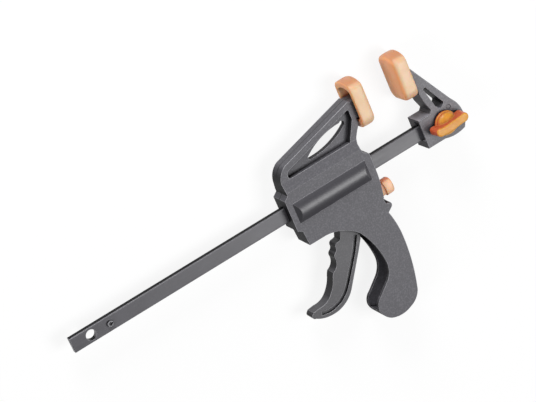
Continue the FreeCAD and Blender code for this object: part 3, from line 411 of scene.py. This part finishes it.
FINISHES = {
    "bar": bar_paint,
    "stop_pin": pin_steel,
    "fixed_jaw": jaw_plastic,
    "jaw_nut": zinc_steel,
    "knob_washer": zinc_steel,
    "knob_screw": zinc_steel,
    "jaw_knob": knob_plastic,
    "fixed_jaw_pad": pad_rubber,
    "moving_jaw_pad": pad_rubber,
    "housing_near": shell_plastic,
    "housing_far": shell_plastic,
    "housing_screws": zinc_steel,
    "trigger_pin": zinc_steel,
    "trigger": trigger_plastic,
    "drive_plate_front": plate_steel,
    "drive_plate_rear": plate_steel,
    "drive_spring": spring_steel,
    "brake_spring": spring_steel,
    "brake_plate": plate_steel,
    "release_button": button_plastic,
}
for name, finish in FINISHES.items():
    shape = nodes[name]
    shape.data.materials.clear()
    shape.data.materials.append(finish.material)


def place_piece(name, mesh):
    """A new object with this mesh, in the scene at the frame's origin."""
    piece = bpy.data.objects.new(name, mesh)
    bpy.context.scene.collection.objects.link(piece)
    return piece


def skin(name, rings, finish, body, stands_for):
    """A closed smooth piece over rings of points that all have the same count."""
    mesh = bpy.data.meshes.new(name)
    form = bmesh.new()
    rows = [[form.verts.new(point) for point in ring] for ring in rings]
    count = len(rows[0])
    for lower, upper in zip(rows, rows[1:]):
        for step in range(count):
            following = (step + 1) % count
            form.faces.new((lower[step], lower[following], upper[following], upper[step]))
    form.faces.new(rows[0][::-1])
    form.faces.new(rows[-1])
    bmesh.ops.recalc_face_normals(form, faces=form.faces)
    form.to_mesh(mesh)
    form.free()
    mesh.shade_smooth()
    mesh.materials.append(finish.material)
    piece = place_piece(name, mesh)
    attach(piece, body)
    if stands_for is not None:
        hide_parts(stands_for)
    return piece


# How many steps a pad's outline takes round its corners, along its flanks, crown and foot.
LOW_CORNER_STEPS = 7
HIGH_CORNER_STEPS = 6
FLANK_STEPS = 10
CROWN_STEPS = 10
FOOT_STEPS = 8


def crowned_outline(low, high, half, low_corner, high_corner, lean):
    """A pad seen along the bar, as (y, z, outward angle): flat foot, straight flanks, four round
    corners, and a crowned top whose arc ends at the lean, in degrees."""
    lean = math.radians(lean)
    crown = (half - high_corner * (1 - math.sin(lean))) / math.sin(lean)
    hub = high - crown
    top_y = hub + (crown - high_corner) * math.cos(lean)
    top_z = (crown - high_corner) * math.sin(lean)
    foot = half - low_corner
    points = []

    def arc(y, z, radius, start, end, steps):
        for step in range(steps + 1):
            angle = start + (end - start) * step / steps
            points.append((y + radius * math.cos(angle), z + radius * math.sin(angle), angle))

    def run(first, last, angle, steps):
        for step in range(1, steps):
            share = step / steps
            points.append((first[0] + (last[0] - first[0]) * share,
                           first[1] + (last[1] - first[1]) * share, angle))

    arc(low + low_corner, -foot, low_corner, math.pi, 1.5 * math.pi, LOW_CORNER_STEPS)
    run((low + low_corner, -half), (top_y, -half), 1.5 * math.pi, FLANK_STEPS)
    arc(top_y, -top_z, high_corner, 1.5 * math.pi, 2 * math.pi - lean, HIGH_CORNER_STEPS)
    arc(hub, 0, crown, 2 * math.pi - lean, 2 * math.pi + lean, CROWN_STEPS)
    arc(top_y, top_z, high_corner, 2 * math.pi + lean, 2.5 * math.pi, HIGH_CORNER_STEPS)
    run((top_y, half), (low + low_corner, half), 0.5 * math.pi, FLANK_STEPS)
    arc(low + low_corner, foot, low_corner, 0.5 * math.pi, math.pi, LOW_CORNER_STEPS)
    run((low, foot), (low, -foot), math.pi, FOOT_STEPS)
    return points


# A pad's levels in mm. The floor of its socket is given as shares of the outline, the socket's
# mouth as (depth, flare), and the crown of its face as (share of the outline, rise).
PAD_SOCKET = 6.4
PAD_SOCKET_FLOOR = (0.1, 0.45, 0.8, 0.95)
PAD_SOCKET_MOUTH = ((5.9, 0.0), (0.9, 0.0), (0.35, 0.12), (0.08, 0.40), (0.0, 0.75))
PAD_BACK_EDGE = 1.0
PAD_FACE_EDGE = 2.8
PAD_FACE_RISE = 0.18
PAD_BULGE = 0.10
PAD_BULGE_AT = (0.35, 0.6)
PAD_FACE_CROWN = ((0.88, 0.12), (0.66, 0.05), (0.40, 0.01), (0.12, 0.0))


def rubber_pad(name, node, body, back, face):
    """A soft cap with round edges and a slight crown on its face, open at its back."""
    corner_low, corner_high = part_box(node)
    low, high, half = corner_low.y, corner_high.y, corner_high.z
    outer = crowned_outline(low=low - 0.3 * MM, high=high, half=half, low_corner=6.5 * MM,
                            high_corner=4.8 * MM, lean=27.4)
    inner = crowned_outline(low=low + 5.9 * MM, high=high - 4.6 * MM, half=7.4 * MM,
                            low_corner=1.2 * MM, high_corner=3.0 * MM, lean=20.0)
    middle_y = (low + high) / 2
    way = 1 if face > back else -1
    thick = abs(face - back)

    def ring(outline, depth, inset, scale=1.0):
        points = []
        for y, z, angle in outline:
            y -= inset * math.cos(angle)
            z -= inset * math.sin(angle)
            points.append((back + way * depth, middle_y + (y - middle_y) * scale, z * scale))
        return points

    rings = [ring(inner, PAD_SOCKET * MM, 0.0, share) for share in PAD_SOCKET_FLOOR]
    rings += [ring(inner, depth * MM, -flare * MM) for depth, flare in PAD_SOCKET_MOUTH]
    edge = PAD_BACK_EDGE * MM
    for degrees in (0, 30, 60, 90):
        turn = math.radians(degrees)
        rings.append(ring(outer, edge * (1 - math.cos(turn)), edge * (1 - math.sin(turn))))
    rings += [ring(outer, share * thick, -PAD_BULGE * MM) for share in PAD_BULGE_AT]
    edge = PAD_FACE_EDGE * MM
    for degrees in (0, 18, 36, 54, 72, 90):
        turn = math.radians(degrees)
        depth = thick - edge + (edge - PAD_FACE_RISE * MM) * math.sin(turn)
        rings.append(ring(outer, depth, edge * (1 - math.cos(turn))))
    for share, rise in PAD_FACE_CROWN:
        rings.append(ring(outer, thick - rise * MM, edge, share))

    piece = skin(name, rings, pad_rubber, body, node)
    smooth = piece.modifiers.new("smooth", "SUBSURF")
    smooth.levels = 1
    smooth.render_levels = 1


# The knob in mm: the foot and dome as (radius, height), the wing's levels as (height, inset).
KNOB_RADIUS = 8.2
KNOB_HEIGHT = 9.7
KNOB_FOOT_SHARE = 0.32
KNOB_FOOT = [(7.4, 0.0), (7.9, 0.08), (8.15, 0.3), (8.2, 0.8), (8.15, 1.3), (7.95, 1.55),
             (7.7, 1.62)]
KNOB_DOME_RADIUS = 7.55
KNOB_DOME_START = 1.75
KNOB_DOME_RISE = 4.5
KNOB_STEPS = 120
WING_LEVELS = [(0.9, -0.25), (3.0, -0.15), (6.0, -0.04), (8.9, 0.0)]
WING_EDGE = 0.8
WING_END = 0.25
WING_STEPS = 48
WING_HALF = 2.75
WING_ROUND_FROM = 0.74
KNOB_VOXEL = 0.17 * MM


def knob_wing(z, inset, centre, length):
    """One level of the wing: two lobes and a waist between each of them and the full middle."""
    points = []
    for side in (1, -1):
        for step in range(WING_STEPS):
            along = -math.cos(math.pi * step / WING_STEPS) * side
            lobe = 0.25 * math.exp(-((abs(along) - 0.80) / 0.16) ** 2)
            middle = 0.22 * math.exp(-(along / 0.30) ** 2)
            width = (WING_HALF + lobe + middle) * MM
            if abs(along) > WING_ROUND_FROM:
                past = (abs(along) - WING_ROUND_FROM) / (1 - WING_ROUND_FROM)
                width *= math.sqrt(max(1 - past ** 2, 0.0)) ** 0.8
            bow = (0.9 * along ** 2 - 0.45 + 0.35 * math.sin(2.6 * along)) * MM
            points.append((centre.x + along * (length - inset),
                           centre.y + bow + side * max(width - inset, 0.0), z))
    return points


def moulded_knob():
    """A round foot and dome with the wing grown out of it, all edges soft."""
    low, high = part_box("jaw_knob")
    centre = (low + high) / 2
    length = (high.x - low.x) / 2
    rise = high.z - low.z
    foot = (high.x - low.x) * KNOB_FOOT_SHARE

    profile = list(KNOB_FOOT)
    for degrees in range(0, 88, 5):
        turn = math.radians(degrees)
        profile.append((KNOB_DOME_RADIUS * math.cos(turn),
                        KNOB_DOME_START + KNOB_DOME_RISE * math.sin(turn)))
    around = [math.radians(360 // KNOB_STEPS * step) for step in range(KNOB_STEPS)]
    rings = [[(centre.x + radius * foot / KNOB_RADIUS * math.cos(turn),
               centre.y + radius * foot / KNOB_RADIUS * math.sin(turn),
               low.z + height * rise / KNOB_HEIGHT) for turn in around]
             for radius, height in profile]
    body = skin("knob_form", rings, knob_plastic, "knob", None)

    levels = list(WING_LEVELS)
    for degrees in range(15, 91, 15):
        turn = math.radians(degrees)
        levels.append((levels[3][0] + WING_EDGE * math.sin(turn),
                       WING_EDGE - WING_EDGE * math.cos(turn)))
    rings = [knob_wing(low.z + height * rise / KNOB_HEIGHT, inset * MM, centre,
                       length - WING_END * MM) for height, inset in levels]
    wing = skin("knob_wing", rings, knob_plastic, "knob", None)

    form = bmesh.new()
    form.from_mesh(body.data)
    form.from_mesh(wing.data)
    mesh = bpy.data.meshes.new("moulded_knob")
    form.to_mesh(mesh)
    form.free()
    for spare in (body, wing):
        bpy.data.objects.remove(spare)
    mesh.materials.append(knob_plastic.material)
    knob = place_piece("moulded_knob", mesh)
    blend = knob.modifiers.new("blend", "REMESH")
    blend.mode = "VOXEL"
    blend.voxel_size = KNOB_VOXEL
    blend.use_smooth_shade = True
    soften = knob.modifiers.new("soften", "SMOOTH")
    soften.factor = 0.5
    soften.iterations = 14
    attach(knob, "knob")
    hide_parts("jaw_knob")


# The button's levels in mm: how far out, half its height and width, and how square its oval is.
BUTTON_LEVELS = [
    (-9.5, 3.7, 2.9, 4.0), (-9.3, 3.95, 3.1, 4.0), (-5.0, 4.0, 3.15, 4.0),
    (-2.6, 4.05, 3.2, 4.0), (-1.0, 4.15, 3.3, 3.6), (-0.35, 4.4, 3.55, 3.3),
    (-0.1, 4.8, 3.95, 3.0), (0.05, 5.1, 4.25, 2.8), (0.3, 5.36, 4.51, 2.7),
    (0.75, 5.45, 4.6, 2.6), (2.6, 5.45, 4.6, 2.6), (4.5, 5.43, 4.58, 2.6),
    (5.2, 5.33, 4.48, 2.6), (5.7, 5.08, 4.23, 2.6), (6.1, 4.68, 3.83, 2.6),
    (6.3, 4.25, 3.4, 2.6), (6.4, 3.6, 2.8, 2.5), (6.48, 1.8, 1.4, 2.4), (6.5, 0.5, 0.4, 2.2)]
BUTTON_LEAN = math.radians(3.7)
BUTTON_LENGTH = 6.4 * MM
BUTTON_STEPS = 64


def moulded_button():
    """A neck with a soft-edged oval cap, leaning with the plate that it is clipped to."""
    low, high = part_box("release_button")
    front = high.x - 0.1 * MM
    middle = (high.y + low.y) / 2 + 0.15 * MM
    rings = []
    for along, half_height, half_width, power in BUTTON_LEVELS:
        ring = []
        for step in range(BUTTON_STEPS):
            turn = math.radians(360 * step / BUTTON_STEPS)
            up = math.copysign(abs(math.sin(turn)) ** (2 / power), math.sin(turn))
            out = math.copysign(abs(math.cos(turn)) ** (2 / power), math.cos(turn))
            ahead = along * MM - BUTTON_LENGTH
            rise = up * half_height * MM
            ring.append((front + ahead * math.cos(BUTTON_LEAN) - rise * math.sin(BUTTON_LEAN),
                         middle + ahead * math.sin(BUTTON_LEAN) + rise * math.cos(BUTTON_LEAN),
                         out * half_width * MM))
        rings.append(ring)
    skin("moulded_button", rings, button_plastic, "brake", "release_button")


COIL_WIRE = 0.75 * MM
COIL_TURNS = 7.0
COIL_STEPS_PER_TURN = 28
COIL_SIDES = 10


def drive_coil():
    """The wound drive spring, made at its rest length; the real one shortens as the plates are
    drawn back against it.
    """
    low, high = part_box("drive_spring")
    radius = (high.y - low.y) / 2 - COIL_WIRE
    run = high.x - low.x - 2 * COIL_WIRE
    steps = int(COIL_STEPS_PER_TURN * COIL_TURNS)
    sides = [math.radians(360 / COIL_SIDES * side) for side in range(COIL_SIDES)]
    rings = []
    for step in range(steps + 1):
        turn = 2 * math.pi * COIL_TURNS * step / steps
        outward = Vector((0, math.cos(turn), math.sin(turn)))
        heading = Vector((run / (2 * math.pi * COIL_TURNS), -radius * math.sin(turn),
                          radius * math.cos(turn))).normalized()
        across = heading.cross(outward)
        middle = Vector((low.x + COIL_WIRE + run * step / steps, 0, 0)) + radius * outward
        rings.append([middle + COIL_WIRE * (math.cos(side) * outward + math.sin(side) * across)
                      for side in sides])
    coil = skin("drive_coil", rings, spring_steel, "head", "drive_spring")
    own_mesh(coil)


WHITE = (1.0, 1.0, 1.0, 1.0)
FLOOR_REACH = 6.0
FLOOR_GAP = 0.3 * MM
FLOOR_BARE = tone(160, 160, 160)
FLOOR_GLOW_SHARE = 0.86
SKY_STRENGTH = 0.06
LIGHT_CENTRE = Vector((0.15, -0.01, 0.0))
# Each lamp's place and size in metres, and its power in watts.
LAMPS = (("key", (0.68, -0.28, 1.03), 0.60, 9.9),
         ("side_fill", (0.12, 1.10, 0.38), 0.50, 10.5),
         ("left_fill", (-0.95, 0.15, 0.60), 0.50, 6.0))
# The camera fitted to the photograph: its place, and its axes across, up and behind.
CAMERA_PLACE = (-0.20124, 0.471946, 1.027493)
CAMERA_AXES = ((0.81841567, -0.37388946, 0.43635131),
               (0.4971149, 0.84156796, -0.21128213),
               (-0.28822312, 0.38983335, 0.87461843))
LENS = 127.21
SENSOR_WIDTH = 36.0


def pale_floor():
    """A floor just under the object's lowest point, white to the camera, with its shadow kept."""
    low = cad_box[0][2] - FLOOR_GAP
    floor = bpy.data.meshes.new("floor")
    floor.from_pydata([(-FLOOR_REACH, -FLOOR_REACH, low), (FLOOR_REACH, -FLOOR_REACH, low),
                       (FLOOR_REACH, FLOOR_REACH, low), (-FLOOR_REACH, FLOOR_REACH, low)],
                      [], [(0, 1, 2, 3)])
    place_piece("floor", floor)
    m = Nodes("floor")
    m.set("Roughness", 0.9)
    rays = m.add("ShaderNodeLightPath")
    seen = m.maths("ADD", rays.outputs["Is Camera Ray"], rays.outputs["Is Glossy Ray"])
    seen = m.maths("ADD", seen, rays.outputs["Is Transmission Ray"])
    m.link(m.mix(seen, FLOOR_BARE, tone(255, 255, 255)), m.shader.inputs["Base Color"])
    glow = m.add("ShaderNodeEmission", Strength=1.0)
    glow.inputs["Color"].default_value = WHITE
    both = m.add("ShaderNodeMixShader")
    m.link(m.maths("MULTIPLY", seen, FLOOR_GLOW_SHARE), both.inputs["Fac"])
    m.link(m.shader.outputs["BSDF"], both.inputs[1])
    m.link(glow.outputs["Emission"], both.inputs[2])
    m.link(both.outputs["Shader"], m.tree.nodes["Material Output"].inputs["Surface"])
    floor.materials.append(m.material)


def soft_light():
    """A faint white sky, and soft lamps from the front right, the jaws' side and the left."""
    world = bpy.data.worlds.new("studio")
    bpy.context.scene.world = world
    world.use_nodes = True
    sky = world.node_tree.nodes["Background"]
    sky.inputs["Color"].default_value = WHITE
    sky.inputs["Strength"].default_value = SKY_STRENGTH
    for name, place, size, power in LAMPS:
        lamp = bpy.data.lights.new(name, "AREA")
        lamp.size = size
        lamp.energy = power
        holder = place_piece(name, lamp)
        holder.location = place
        towards = (Vector(place) - LIGHT_CENTRE).to_track_quat("Z", "Y")
        holder.rotation_euler = towards.to_euler()


def photo_camera():
    """The camera at the photograph's place and angle."""
    view = bpy.data.cameras.new("camera")
    view.lens = LENS
    view.sensor_width = SENSOR_WIDTH
    view.clip_start = 0.05
    view.clip_end = 50.0
    camera = place_piece("camera", view)
    turn = Matrix(CAMERA_AXES).transposed()
    camera.matrix_world = Matrix.Translation(CAMERA_PLACE) @ turn.to_4x4()
    bpy.context.scene.camera = camera


rubber_pad("fixed_pad_rubber", "fixed_jaw_pad", "bar", back=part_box("fixed_jaw_pad")[1].x,
           face=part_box("fixed_jaw_pad")[0].x)
rubber_pad("moving_pad_rubber", "moving_jaw_pad", "head", back=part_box("moving_jaw_pad")[0].x,
           face=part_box("moving_jaw_pad")[1].x)
moulded_knob()
moulded_button()
drive_coil()
pale_floor()
soft_light()
photo_camera()
bpy.context.scene.view_settings.view_transform = "Standard"
bpy.context.view_layer.update()
